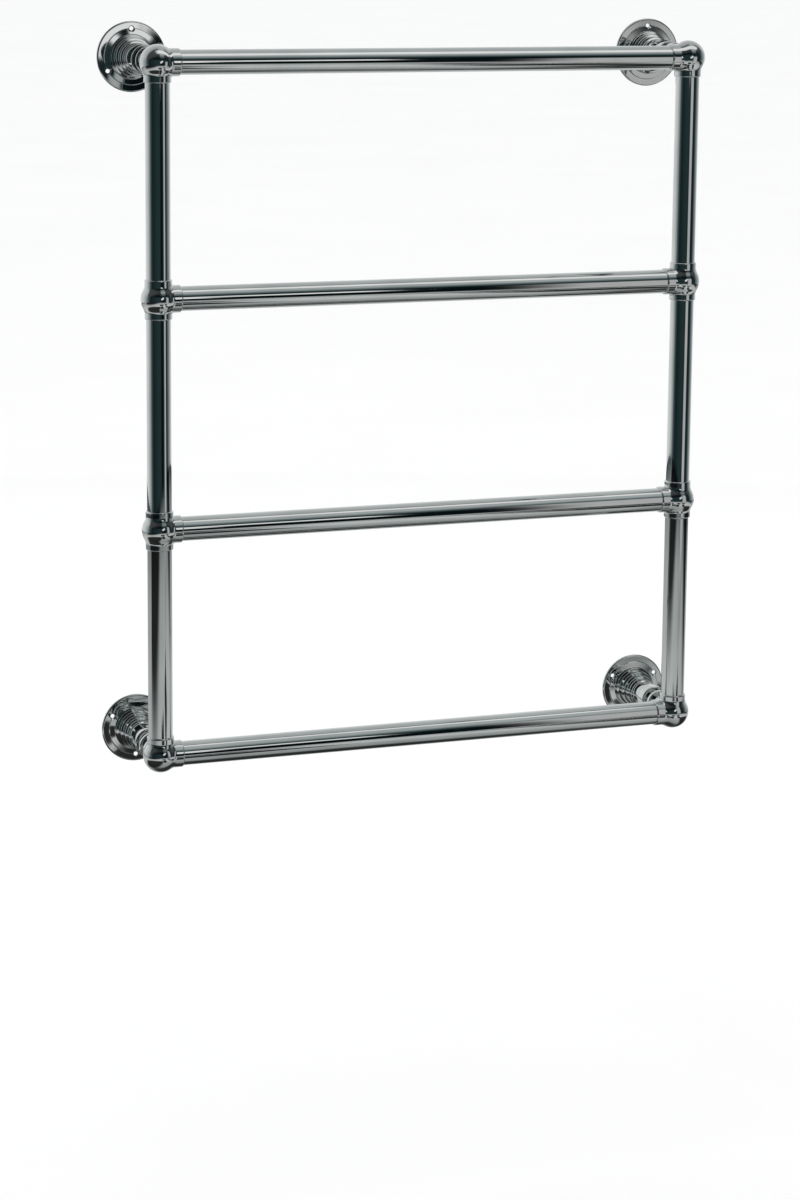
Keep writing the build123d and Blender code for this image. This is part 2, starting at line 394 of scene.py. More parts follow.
@painted_once
def pressed_fibre(sheet, where, finish):
    """Red fibre washer board: flecked, matt and slightly furry."""
    flecks = sheet.noise(sheet.stretched(where, (1500.0, 500.0, 1500.0)), 1.0, detail=5.0)
    tint = sheet.ramp(flecks, [(0.38, finish.fibre_dark), (0.58, finish.fibre)])
    sheet.surface(tint, sheet.spread(flecks, 0.85, 0.65), sheet.bump(flecks, 0.4, 0.0002))


@painted_once
def seat_rubber(sheet, where, finish):
    """Matt black rubber with a pale bloom."""
    bloom = sheet.noise(where, 1800.0, detail=4.0)
    tint = sheet.ramp(bloom, [(0.4, finish.rubber), (0.8, finish.rubber_bloom)])
    sheet.surface(tint, sheet.spread(bloom, 0.55, 0.8), sheet.bump(bloom, 0.2, 0.0001))


# ---- Geometry Nodes: turned pieces and drilled holes -----------------------------------

class Tree(Nodes):
    """A Geometry Nodes tree under construction, with named inputs."""

    def __init__(self, name, inputs):
        super().__init__(bpy.data.node_groups.new(name, "GeometryNodeTree"))
        self.tree.is_modifier = True
        sockets = self.tree.interface
        sockets.new_socket("Geometry", in_out="INPUT", socket_type="NodeSocketGeometry")
        for label, kind, default in inputs:
            socket = sockets.new_socket(label, in_out="INPUT", socket_type=kind)
            if default is not None:
                socket.default_value = default
        sockets.new_socket("Geometry", in_out="OUTPUT", socket_type="NodeSocketGeometry")
        self.start = self.add("NodeGroupInput")
        self.end = self.add("NodeGroupOutput")

    def given(self, label):
        return self.start.outputs[label]

    def finish(self, geometry):
        """Crisp edges, then Realize Instances and Set Material as the end."""
        crease = self.add("GeometryNodeInputMeshEdgeAngle").outputs["Unsigned Angle"]
        sharp = self.add(
            "FunctionNodeCompare", data_type="FLOAT", operation="GREATER_THAN",
            links=[(0, crease), (1, self.given("Crease angle"))],
        ).outputs["Result"]
        smooth = self.add(
            "GeometryNodeSetShadeSmooth", domain="FACE", links=[("Geometry", geometry)]
        )
        edged = self.add(
            "GeometryNodeSetShadeSmooth", domain="EDGE",
            links=[("Geometry", smooth.outputs[0]), ("Selection", sharp)],
            values=[("Shade Smooth", False)],
        )
        realised = self.add("GeometryNodeRealizeInstances", links=[("Geometry", edged.outputs[0])])
        finished = self.add(
            "GeometryNodeSetMaterial",
            links=[("Geometry", realised.outputs[0]), ("Material", self.given("Finish"))],
        )
        self.join(finished.outputs[0], self.end.inputs[0])
        return self.tree


CUT_PAST = 0.002         # how far a cutter stands clear of what it cuts

COMMON_INPUTS = [
    ("Crease angle", "NodeSocketFloat", math.radians(32)),
    ("Finish", "NodeSocketMaterial", None),
]


def turning_tree():
    """Turns the points of a profile, radius in X and height in Z, about the Z axis."""
    if "Turned piece" in bpy.data.node_groups:
        return bpy.data.node_groups["Turned piece"]
    build = Tree("Turned piece", [("Segments", "NodeSocketInt", 96), *COMMON_INPUTS])
    points = build.add(
        "GeometryNodeAttributeDomainSize", component="MESH",
        links=[("Geometry", build.given("Geometry"))],
    ).outputs["Point Count"]
    columns = build.maths("ADD", build.given("Segments"), 1)
    grid = build.add(
        "GeometryNodeMeshGrid", links=[("Vertices X", columns), ("Vertices Y", points)],
        values=[("Size X", 1.0), ("Size Y", 1.0)],
    )
    index = build.add("GeometryNodeInputIndex").outputs[0]
    column = build.maths("FLOOR", build.maths("DIVIDE", build.maths("ADD", index, 0.5), points))
    along = build.maths("SUBTRACT", index, build.maths("MULTIPLY", column, points))
    sample = build.add(
        "GeometryNodeSampleIndex", data_type="FLOAT_VECTOR", domain="POINT",
        links=[
            ("Geometry", build.given("Geometry")),
            ("Value", build.add("GeometryNodeInputPosition").outputs[0]),
            ("Index", along),
        ],
    ).outputs[0]
    step = build.maths("DIVIDE", 2 * math.pi, build.given("Segments"))
    turned = build.add(
        "ShaderNodeVectorRotate", rotation_type="Z_AXIS",
        links=[("Vector", sample), ("Angle", build.maths("MULTIPLY", column, step))],
    ).outputs[0]
    shaped = build.add(
        "GeometryNodeSetPosition", links=[("Geometry", grid.outputs["Mesh"]), ("Position", turned)]
    )
    closed = build.add(
        "GeometryNodeMergeByDistance", links=[("Geometry", shaped.outputs[0])],
        values=[("Distance", 2e-6)],
    )
    return build.finish(closed.outputs[0])


def drilling_tree():
    """Cuts a ring of equal holes, each the shape of the cutter, into a turned piece."""
    if "Drilled ring" in bpy.data.node_groups:
        return bpy.data.node_groups["Drilled ring"]
    build = Tree("Drilled ring", [
        ("Cutter", "NodeSocketObject", None),
        ("Holes", "NodeSocketInt", 3),
        ("Circle radius", "NodeSocketFloat", 0.033),
        ("First hole", "NodeSocketFloat", 0.0),
        *COMMON_INPUTS,
    ])
    ring = build.add(
        "GeometryNodeMeshCircle", fill_type="NONE",
        links=[("Vertices", build.given("Holes")), ("Radius", build.given("Circle radius"))],
    )
    turn = build.add("ShaderNodeCombineXYZ", links=[("Z", build.given("First hole"))])
    turned = build.add(
        "GeometryNodeTransform",
        links=[("Geometry", ring.outputs[0]), ("Rotation", turn.outputs[0])],
    )
    cutter = build.add(
        "GeometryNodeObjectInfo", transform_space="ORIGINAL",
        links=[("Object", build.given("Cutter"))],
    )
    cutters = build.add(
        "GeometryNodeInstanceOnPoints",
        links=[("Points", turned.outputs[0]), ("Instance", cutter.outputs["Geometry"])],
    )
    solid = build.add("GeometryNodeRealizeInstances", links=[("Geometry", cutters.outputs[0])])
    drilled = build.add(
        "GeometryNodeMeshBoolean", operation="DIFFERENCE", solver="EXACT",
        links=[("Mesh 1", build.given("Geometry")), ("Mesh 2", solid.outputs[0])],
    )
    return build.finish(drilled.outputs[0])


def apply_tree(thing, tree, **values):
    """Adds a tree to an object, with its inputs set by socket identifier."""
    modifier = thing.modifiers.new(tree.name, "NODES")
    sockets = {s.name: s.identifier for s in tree.interface.items_tree if s.in_out == "INPUT"}
    modifier.node_group = tree
    for name, value in values.items():
        modifier[sockets[name.replace("_", " ").capitalize()]] = value
    return modifier


# ---- mesh work -------------------------------------------------------------------------

def rounded_profile(corners, support=0.00035):
    """Profile points from corners (radius, height, rounding), left open where it meets its axis."""
    points = []
    count = len(corners)
    solid = [n for n in range(count) if corners[n][0] == 0 and corners[(n + 1) % count][0] == 0]
    if solid:
        corners = [*corners[solid[0] + 1:], *corners[:solid[0] + 1]]
    spots = [np.array(corner[:2], float) for corner in corners]
    runs = []
    for number, (radius, height, rounding) in enumerate(corners):
        here, before, after = spots[number], spots[number - 1], spots[(number + 1) % count]
        if rounding <= 0:
            runs.append([here])
            continue
        back, ahead = before - here, after - here
        back, ahead = back / np.linalg.norm(back), ahead / np.linalg.norm(ahead)
        half = math.acos(max(-1.0, min(1.0, float(back @ ahead)))) / 2
        reach = rounding / math.tan(half)
        inward = (back + ahead) / np.linalg.norm(back + ahead)
        centre = here + inward * rounding / math.sin(half)
        first, last = here + back * reach - centre, here + ahead * reach - centre
        sweep = math.pi - 2 * half
        steps = max(3, math.ceil(math.degrees(sweep) / 11))
        arc = []
        for step in range(steps + 1):
            part = step / steps
            blend = (
                first * math.sin((1 - part) * sweep) + last * math.sin(part * sweep)
            ) / math.sin(sweep)
            arc.append(centre + blend)
        runs.append(arc)
    for number, run in enumerate(runs):
        points.extend(run)
        start, end = run[-1], runs[(number + 1) % count][0]
        gap = np.linalg.norm(end - start)
        if gap > 4 * support:
            for rounding, part in (
                (corners[number][2], support / gap),
                (corners[(number + 1) % count][2], 1 - support / gap),
            ):
                if rounding > 0:
                    points.append(start + (end - start) * part)
    return points if solid else [*points, points[0]]


def placed(name, data):
    """An object of a mesh or a camera, linked to the scene."""
    thing = bpy.data.objects.new(name, data)
    bpy.context.scene.collection.objects.link(thing)
    return thing


def loose_object(name, vertices, edges=(), faces=()):
    """An object of plain mesh data, linked to the scene."""
    mesh = bpy.data.meshes.new(name)
    mesh.from_pydata([tuple(v) for v in vertices], list(edges), list(faces))
    return placed(name, mesh)


def turned_object(name, corners, segments):
    """A profile as an object, with the turning tree on it."""
    points = rounded_profile(corners)
    thing = loose_object(
        name, [(r, 0.0, h) for r, h in points], [(i, i + 1) for i in range(len(points) - 1)]
    )
    apply_tree(thing, turning_tree(), segments=segments, finish=chrome_plate())
    return thing


def baked(thing):
    """The evaluated mesh of an object, the object itself removed."""
    bpy.context.view_layer.update()
    graph = bpy.context.evaluated_depsgraph_get()
    mesh = bpy.data.meshes.new_from_object(thing.evaluated_get(graph))
    bpy.data.objects.remove(thing)
    if not mesh.polygons:
        raise RuntimeError(f"{mesh.name} came out empty")
    return mesh


def tidy_mesh(mesh, crease=32):
    """Merges doubles, points the faces outwards and marks the crisp edges."""
    work = bmesh.new()
    work.from_mesh(mesh)
    bmesh.ops.remove_doubles(work, verts=work.verts, dist=1e-7)
    bmesh.ops.dissolve_degenerate(work, edges=work.edges, dist=1e-8)
    bmesh.ops.recalc_face_normals(work, faces=work.faces)
    work.to_mesh(mesh)
    work.free()
    mesh.shade_smooth()
    mesh.set_sharp_from_angle(angle=math.radians(crease))
    return mesh


def turned_mesh(name, corners, segments, drill=None):
    """Turned mesh about Z from profile corners, with a ring of drilled holes if asked."""
    thing = turned_object(name, corners, segments)
    if not drill:
        return tidy_mesh(baked(thing))
    cutter_corners, holes, circle, first = drill
    cutter = placed(name + "_cutter", turned_mesh(name + "_cutter", cutter_corners, 40))
    apply_tree(
        thing, drilling_tree(), cutter=cutter, holes=holes, circle_radius=circle,
        first_hole=first, finish=chrome_plate(),
    )
    mesh = tidy_mesh(baked(thing))
    bpy.data.objects.remove(cutter)
    return mesh


def along(direction):
    """Rotation that takes +Z to a direction."""
    return direction.to_track_quat("Z", "Y").to_matrix().to_4x4()


def hang(name, mesh, stands_for, body="rack"):
    """Makes a finished chrome piece of a mesh that is already in its place."""
    thing = placed(name, mesh)
    mesh.name = name
    mesh.materials.clear()
    mesh.materials.append(chrome_plate())
    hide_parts(stands_for)
    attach(thing, body)


# ---- ball fitting surface --------------------------------------------------------------

def smooth_least(first, second, blend):
    """Least of two distances with a rounded inside corner."""
    near = np.maximum(blend - np.abs(first - second), 0) / blend
    return np.minimum(first, second) - near * near * blend / 4


def fitting_distance(points, ports, fitting):
    """Signed distance from points to a ball with collars; ports pairs way and reach."""
    distance = np.linalg.norm(points, axis=1) - fitting.ball_diameter / 2
    lip = fitting.lip_round
    for way, reach in ports:
        rise = points @ way
        off = np.sqrt(np.maximum((points * points).sum(1) - rise * rise, 0))
        beside = off - (fitting.collar_radius - lip)
        beyond = np.abs(rise - reach / 2) - (reach / 2 - lip)
        collar = (
            np.minimum(np.maximum(beside, beyond), 0)
            + np.hypot(np.maximum(beside, 0), np.maximum(beyond, 0)) - lip
        )
        distance = smooth_least(distance, collar, fitting.fillet)
    return distance


def fitting_slope(points, ports, fitting, step=2e-6):
    """Outward unit normals of the fitting's surface."""
    slope = np.zeros_like(points)
    for axis in range(3):
        shift = np.zeros(3)
        shift[axis] = step
        slope[:, axis] = fitting_distance(points + shift, ports, fitting) - fitting_distance(
            points - shift, ports, fitting
        )
    return slope / np.maximum(np.linalg.norm(slope, axis=1, keepdims=True), 1e-12)


def fitting_shell(name, ports, fitting):
    """Closed outer surface of a fitting, every point found along its ray from the centre."""
    work = bmesh.new()
    bmesh.ops.create_icosphere(work, subdivisions=fitting.fineness, radius=1.0)
    rays = np.array([v.co for v in work.verts], float)
    rays /= np.linalg.norm(rays, axis=1, keepdims=True)
    low = np.full(len(rays), fitting.ball_diameter * 0.45)
    high = np.full(len(rays), fitting.ball_diameter * 0.9)
    for _ in range(34):
        trial = (low + high) / 2
        outside = fitting_distance(rays * trial[:, None], ports, fitting) > 0
        high = np.where(outside, trial, high)
        low = np.where(outside, low, trial)
    places = rays * ((low + high) / 2)[:, None]
    for vertex, place in zip(work.verts, places):
        vertex.co = place
    mesh = bpy.data.meshes.new(name)
    work.to_mesh(mesh)
    work.free()
    return mesh


def fitting_mesh(name, ports, bores, fitting):
    """A ball fitting at the origin with its tube sockets cut; bores pairs way and radius."""
    ports = [(np.array(way, float), reach) for way, reach in ports]
    shell = placed(name, fitting_shell(name, ports, fitting))
    cutters = []
    for way, radius in bores:
        mouth = fitting.rail_reach + 2 * CUT_PAST
        seat = fitting.tube_seat
        corners = [(0, seat, 0), (radius, seat, 0), (radius, mouth, 0), (0, mouth, 0)]
        mesh = turned_mesh(name + "_socket", corners, 96)
        mesh.transform(along(Vector(way)))
        cutter = placed(name + "_socket", mesh)
        cut = shell.modifiers.new("socket", "BOOLEAN")
        cut.operation, cut.solver, cut.object = "DIFFERENCE", "EXACT", cutter
        cutters.append(cutter)
    mesh = baked(shell)
    for cutter in cutters:
        bpy.data.objects.remove(cutter)
    mesh.shade_smooth()
    mesh.set_sharp_from_angle(angle=math.radians(40))
    return mesh


def column(collection, field, width=1, kind=float):
    """One field of mesh data as an array."""
    values = np.zeros(len(collection) * width, kind)
    collection.foreach_get(field, values)
    return values.reshape(-1, width) if width > 1 else values


def set_fitting_normals(mesh, ports, fitting, centre):
    """Exact normals on the outer surface, plain ones in the sockets."""
    ports = [(np.array(way, float), reach) for way, reach in ports]
    points = column(mesh.vertices, "co", 3) - np.array(centre)
    loops = column(mesh.loops, "vertex_index", kind=int)
    flat = column(mesh.polygons, "normal", 3)
    counts = column(mesh.polygons, "loop_total", kind=int)
    owner = np.repeat(np.arange(len(counts)), counts)
    slopes = fitting_slope(points, ports, fitting)
    off = np.abs(fitting_distance(points, ports, fitting))
    outer = (off[loops] < 1e-5) & ((slopes[loops] * flat[owner]).sum(1) > 0.6)
    normals = np.where(outer[:, None], slopes[loops], 0.0)
    mesh.normals_split_custom_set([tuple(n) for n in normals])


# ---- operators -------------------------------------------------------------------------

class RACK_OT_tubes(Operator):
    """Make the four rails and six uprights as turned, hollow, plated tubes"""

    bl_idname = "rack.tubes"
    bl_label = "Rails and uprights"

    def execute(self, context):
        tubes = context.scene.towel_rack.tubes
        outer = tubes.diameter / 2
        for name in (*RAIL_NODES, *UPRIGHT_NODES):
            flat = name in RAIL_NODES
            axis = 0 if flat else 2
            low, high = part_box(name)
            mesh = turned_mesh(name, [
                (outer - tubes.wall, 0, 0), (outer, 0, 0),
                (outer, high[axis] - low[axis], 0), (outer - tubes.wall, high[axis] - low[axis], 0),
            ], tubes.segments)
            start = middle(name)
            start[axis] = low[axis]
            mesh.transform(Matrix.Translation(start) @ along(RIGHT if flat else UP))
            hang(f"{name}_tube", mesh, name)
        return {"FINISHED"}


class RACK_OT_ball_fittings(Operator):
    """Make the four ball elbows and four ball tees with their collared sockets"""

    bl_idname = "rack.ball_fittings"
    bl_label = "Ball elbows and tees"

    def execute(self, context):
        rack = context.scene.towel_rack
        fitting = rack.fittings
        tube_bore = rack.tubes.diameter / 2 + fitting.socket_gap
        stay_bore = rack.unions.stay_radius + fitting.socket_gap
        rows = [("top", "ball_elbow", [DOWN], True), ("upper", "ball_tee", [UP, DOWN], False),
                ("lower", "ball_tee", [UP, DOWN], False), ("bottom", "ball_elbow", [UP], True)]
        made = {}
        for side in SIDES:
            inward = RIGHT if side == "left" else LEFT
            for (row, kind, ways, to_wall), height in zip(rows, RAIL_Z):
                key = (side, kind, tuple(map(tuple, ways)))
                ports = [(inward, fitting.rail_reach)]
                ports += [(way, fitting.upright_reach) for way in ways]
                bores = [(inward, tube_bore)] + [(way, tube_bore) for way in ways]
                if to_wall:
                    ports.append((TO_WALL, fitting.upright_reach))
                    bores.append((TO_WALL, stay_bore))
                if key not in made:
                    made[key] = fitting_mesh(f"{side}_{kind}", ports, bores, fitting)
                centre = Vector((LEFT_X if side == "left" else RIGHT_X, TUBE_Y, height))
                mesh = made[key].copy()
                mesh.transform(Matrix.Translation(centre))
                set_fitting_normals(mesh, ports, fitting, centre)
                node = f"{row}_{side}_{kind}"
                hang(f"{node}_casting", mesh, node)
        return {"FINISHED"}


class RACK_OT_wall_flanges(Operator):
    """Make the four stepped wall flanges with their countersunk screw holes"""

    bl_idname = "rack.wall_flanges"
    bl_label = "Wall flanges"

    def outline(self, flange):
        """Profile corners from the rim to the bell's neck."""
        line = flange.screw_circle + 0.0002
        rim_round, step_round, cove_round = 0.0018, 0.0012, 0.0008
        corners = [
            (flange.radius, 0, 0), (flange.radius, flange.rim_height, rim_round),
            (line, flange.rim_height + 0.0004, 0.0002),
            (line - 0.0006, flange.face_height, 0.0003),
            (flange.bell_foot + 0.0004, flange.face_height + 0.0006, 0.0006),
        ]
        first_step, taper = 0.55, 1.25
        drop, crown = flange.bell_foot - flange.bell_neck, flange.face_height
        for step in range(flange.bell_steps):
            here = (1 - step / flange.bell_steps) ** taper
            after = (1 - (step + 1) / flange.bell_steps) ** taper
            crown += flange.bell_step * (first_step if step == 0 else 1.0)
            corners.append((flange.bell_neck + drop * here, crown, step_round))
            corners.append((
                flange.bell_neck + drop * after + 0.0005, crown + flange.bell_shoulder, cove_round
            ))
        corners += [
            (flange.bell_neck, flange.height, 0), (flange.thread_radius, flange.height, 0),
            (flange.thread_radius, flange.union_face, 0),
        ]
        return corners

    def execute(self, context):
        rack = context.scene.towel_rack
        flange = rack.flanges
        hole, mouth = flange.screw_hole_radius, flange.countersink_radius
        sink = flange.face_height - (mouth - hole)
        below, clear = -CUT_PAST / 2, flange.face_height + CUT_PAST
        cutter = [
            (0, below, 0), (hole, below, 0), (hole, sink, 0),
            (mouth, flange.face_height, 0), (mouth, clear, 0), (0, clear, 0),
        ]
        for row, first, bored in (("top", 90, False), ("bottom", 270, True)):
            corners = self.outline(flange)
            if bored:
                corners += [
                    (flange.bore_radius, flange.union_face, 0),
                    (flange.bore_radius, flange.inlet_depth, 0),
                    (flange.inlet_radius, flange.inlet_depth, 0), (flange.inlet_radius, 0, 0),
                ]
            else:
                corners += [(0, flange.union_face, 0), (0, 0, 0)]
            shape = turned_mesh(
                f"{row}_flange", corners, 128,
                drill=(cutter, flange.screws, flange.screw_circle, math.radians(first)),
            )
            for side in SIDES:
                node = f"{row}_{side}_wall_flange"
                low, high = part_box(node)
                mesh = shape.copy()
                place = Vector(((low.x + high.x) / 2, high.y, (low.z + high.z) / 2))
                turn = Matrix(((1, 0, 0, 0), (0, 0, -1, 0), (0, 1, 0, 0), (0, 0, 0, 1)))
                mesh.transform(Matrix.Translation(place) @ turn)
                hang(f"{node}_turned", mesh, node)
        return {"FINISHED"}


THREAD_GAP = 0.00005     # round the thread inside a union nut
LIP_GAP = 0.0003         # round the stay inside a union nut's lip


class RACK_OT_unions(Operator):
    """Make the union nuts and the ringed stay tails that join the balls to the flanges"""

    bl_idname = "rack.unions"
    bl_label = "Union nuts and stay tails"

    def execute(self, context):
        rack = context.scene.towel_rack
        union = rack.unions
        for row, side in CORNERS:
            x = LEFT_X if side == "left" else RIGHT_X
            height = RAIL_Z[0] if row == "top" else RAIL_Z[-1]
            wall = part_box(f"{row}_{side}_wall_flange")[1].y
            node = f"{row}_{side}_union_nut"
            low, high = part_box(node)
            start, end = wall - high.y, wall - low.y
            bore = rack.flanges.thread_radius + THREAD_GAP
            lip_bore = union.stay_radius + LIP_GAP
            nut = [
                (bore, start, 0), (union.nut_radius, start, union.nut_round),
                (union.nut_radius, end, union.nut_round), (lip_bore, end, 0),
                (lip_bore, end - union.nut_lip, 0), (bore, end - union.nut_lip, 0),
            ]
            stay, ring = union.stay_radius, union.ring_start + union.ring_height
            thrust = union.tail_face + union.collar_height
            bore = rack.flanges.bore_radius
            tail = [
                (bore, union.tail_face, 0), (union.collar_radius, union.tail_face, 0),
                (union.collar_radius, thrust, 0), (stay, thrust, 0),
                (stay, union.ring_start, 0),
                (union.ring_radius, union.ring_start, union.ring_round),
                (union.ring_radius, ring, union.ring_round), (stay, ring, 0),
                (stay, union.tail_end, 0), (bore, union.tail_end, 0),
            ]
            place = Matrix.Translation((x, wall, height)) @ along(TO_ROOM)
            for node, corners, body in (
                (node, nut, node), (f"{row}_{side}_stay_tail", tail, "rack"),
            ):
                mesh = turned_mesh(node, corners, rack.tubes.segments)
                mesh.transform(place)
                hang(f"{node}_turned", mesh, node, body)
        return {"FINISHED"}


class RACK_OT_small_pieces(Operator):
    """Finish the washers and the air vent, whose frame shapes are kept"""

    bl_idname = "rack.small_pieces"
    bl_label = "Washers and air vent"

    def execute(self, context):
        finishes = {"vent_boss": chrome_plate, "vent_plug": chrome_plate,
                    "vent_seat_washer": seat_rubber, "vent_spindle": machined_brass}
        for row, side in CORNERS:
            finishes[f"{row}_{side}_union_washer"] = pressed_fibre
        for node, finish in finishes.items():
            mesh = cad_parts[node].data
            mesh.materials.clear()
            mesh.materials.append(finish())
        return {"FINISHED"}


FLOOR_HALF_WIDTH = 80.0
LOW_CARD_RADIUS = 4.6    # how far the low card reaches round the rack
LOW_CARD_SIDES = 96
LOW_CARD_SCALE = 6.0     # metres over which its brightness is given
RAIL_SLANT = 0.34        # sideways drift of a rail's reflection for each metre out
FLAG_LIFT = 0.01         # dark flags lie this far above the low card
SKY_LIFT = 1.45          # brightness of the high sky against its ramp
RAIL_STRIP = 0.31        # X of the directions that the rails mirror


class RACK_OT_stage(Operator):
    """Make the pale floor, the even room light, the studio panels and the camera"""

    bl_idname = "rack.stage"
    bl_label = "Floor, light and camera"

    def set_out(self, name, corners, material, mirrored_only=True):
        """A flat stage piece, which only the metal mirrors unless told otherwise."""
        thing = loose_object(name, corners, faces=[tuple(range(len(corners)))])
        thing.data.materials.append(material)
        if mirrored_only:
            for way in ("camera", "diffuse", "shadow", "transmission"):
                setattr(thing, f"visible_{way}", False)
        return thing

    def card(self, name, brightness, span, centre, core, edge):
        """A soft-edged card: full inside its core half sizes, clear past its edge ones.

        The span is its low and high corners; it is flat in the axis whose edge is 0.
        """
        made, sheet, where = new_material(f"{name}_glow")
        parts = sheet.parts(where)
        across = [axis for axis in range(3) if edge[axis]]
        level = None
        for axis in across:
            off = sheet.maths("ABSOLUTE", sheet.maths("SUBTRACT", parts[axis], centre[axis]))
            part = sheet.spread(off, 1.0, 0.0, core[axis], edge[axis], smooth=True)
            level = part if level is None else sheet.maths("MULTIPLY", level, part)
        light = sheet.add(
            "ShaderNodeEmission", links=[("Strength", sheet.maths("MULTIPLY", level, brightness))]
        )
        clear = sheet.add("ShaderNodeBsdfTransparent")
        mix = sheet.add(
            "ShaderNodeMixShader", links=[(0, level), (1, clear.outputs[0]), (2, light.outputs[0])]
        )
        sheet.show(mix.outputs[0])
        corners = []
        for first, second in ((0, 0), (1, 0), (1, 1), (0, 1)):
            corner = list(centre)
            corner[across[0]] = span[first][0]
            corner[across[1]] = span[second][1]
            corners.append(corner)
        self.set_out(name, corners, made)

    def floor(self, stage):
        """A wide pale floor, and a low card in it that only the metal mirrors."""
        made, sheet, where = new_material("floor_paint")
        low = tuple(c * 0.985 for c in stage.floor_colour)
        mottle = sheet.noise(where, 1.5, detail=3.0)
        tint = sheet.ramp(mottle, [(0.3, low), (0.7, stage.floor_colour)])
        roughness = sheet.spread(sheet.noise(where, 6.0), 0.85, 0.95)
        sheet.surface(tint, roughness, sheet.bump(sheet.noise(where, 90.0), 0.02, 0.001))
        z, wide = -stage.floor_drop, FLOOR_HALF_WIDTH
        corners = [(-wide, -wide, z), (wide, -wide, z), (wide, wide, z), (-wide, wide, z)]
        self.set_out("floor", corners, made, mirrored_only=False).visible_glossy = False

        glow, sheet, where = new_material("floor_card_glow")
        x, y, _ = sheet.parts(where)
        far = sheet.distance(x, y)
        level = sheet.ramp(
            sheet.maths("DIVIDE", far, LOW_CARD_SCALE),
            [(0.0, (0.44, 0.46, 0.46)), (0.1, (0.56, 0.59, 0.59)), (0.2, (0.88, 0.9, 0.9)),
             (0.28, (0.98, 1.0, 1.0)), (0.42, (0.78, 0.8, 0.8)), (0.60, (0.58, 0.61, 0.61)),
             (0.70, (0.34, 0.37, 0.37)), (0.76, (0.02, 0.04, 0.045))],
        )
        # Near the rack, light only the strip that the rails mirror
        slant = sheet.maths("MULTIPLY", y, RAIL_SLANT)
        aside = sheet.maths("ABSOLUTE", sheet.maths("ADD", x, slant))
        reach = sheet.spread(far, 0.5, 2.3, 1.2, 2.1, smooth=True)
        fade = sheet.spread(
            sheet.maths("DIVIDE", aside, reach), stage.card_light, 0.04, 0.85, 1.4, smooth=True
        )
        # Straight under the rack it is dark, and behind the wall it is lit all over
        under = sheet.distance(sheet.maths("MULTIPLY", x, 0.5), y)
        shade = sheet.spread(under, 0.1, 1.0, 0.2, 0.42, smooth=True)
        behind = sheet.spread(y, 0.0, stage.card_light, 0.25, 0.6, smooth=True)
        fade = sheet.maths("MAXIMUM", sheet.maths("MULTIPLY", fade, shade), behind)
        light = sheet.add("ShaderNodeEmission", links=[("Strength", fade), ("Color", level)])
        sheet.show(light.outputs[0])
        turns = [2 * math.pi * number / LOW_CARD_SIDES for number in range(LOW_CARD_SIDES)]
        rim = [(LOW_CARD_RADIUS * math.cos(a), LOW_CARD_RADIUS * math.sin(a), z) for a in turns]
        self.set_out("floor_card", rim, glow)

    def panels(self, stage):
        """A side panel, a window, a small card, an overhead panel and four dark flags."""
        self.card(
            "side_panel", stage.panel_light, ((0.15, -0.95), (1.75, 0.75)),
            (0.95, -1.3, 0.0), (0.25, 0, 0.45), (0.48, 0, 0.7),
        )
        self.card(
            "window", 1.15, ((0.3, 0.3), (1.6, 1.4)),
            (0.74, -3.4, 0.84), (0.26, 0, 0.22), (0.42, 0, 0.42),
        )
        self.card(
            "ceiling_panel", stage.ceiling_light, ((-0.7, -0.65), (1.2, 0.0)),
            (0.25, -0.36, 1.05), (0.55, 0.10, 0), (0.9, 0.28, 0),
        )
        self.card(
            "small_card", 1.15, ((-0.3, 0.0), (0.8, 1.0)),
            (0.27, -3.39, 0.5), (0.30, 0, 0.24), (0.42, 0, 0.36),
        )
        # Each flag darkens one side of a bottom flange
        z = FLAG_LIFT - stage.floor_drop
        for name, x, y, wide in (
            ("far_left", -0.06, -2.0, 0.34), ("near_left", 0.0, -1.2, 0.13),
            ("far_right", 1.12, -2.0, 0.28), ("near_right", 0.85, -1.2, 0.13),
        ):
            self.card(
                f"{name}_flag", 0.03, ((x - 0.6, y - 0.5), (x + 0.6, y + 0.5)),
                (x, y, z), (wide, 0.3, 0), (wide + 0.12, 0.42, 0),
            )

    def sky(self, stage):
        """Even white for the floor and the eye, a shaded studio for the metal."""
        world = bpy.data.worlds.new("studio")
        world.use_nodes = True
        bpy.context.scene.world = world
        sheet = Sheet(world.node_tree)
        x, y, z = sheet.parts(sheet.add("ShaderNodeTexCoord").outputs["Generated"])
        front = sheet.maths("MULTIPLY", y, -1.0)
        turn = sheet.spread(sheet.maths("ARCTAN2", x, front), 0.0, 1.0, -math.pi, math.pi)
        dark = tuple(stage.room_dark)
        dim = tuple(c * 1.5 + 0.01 for c in dark)
        deep = tuple(c * 0.3 for c in dark)

        def at(degrees):
            return (degrees + 180) / 360

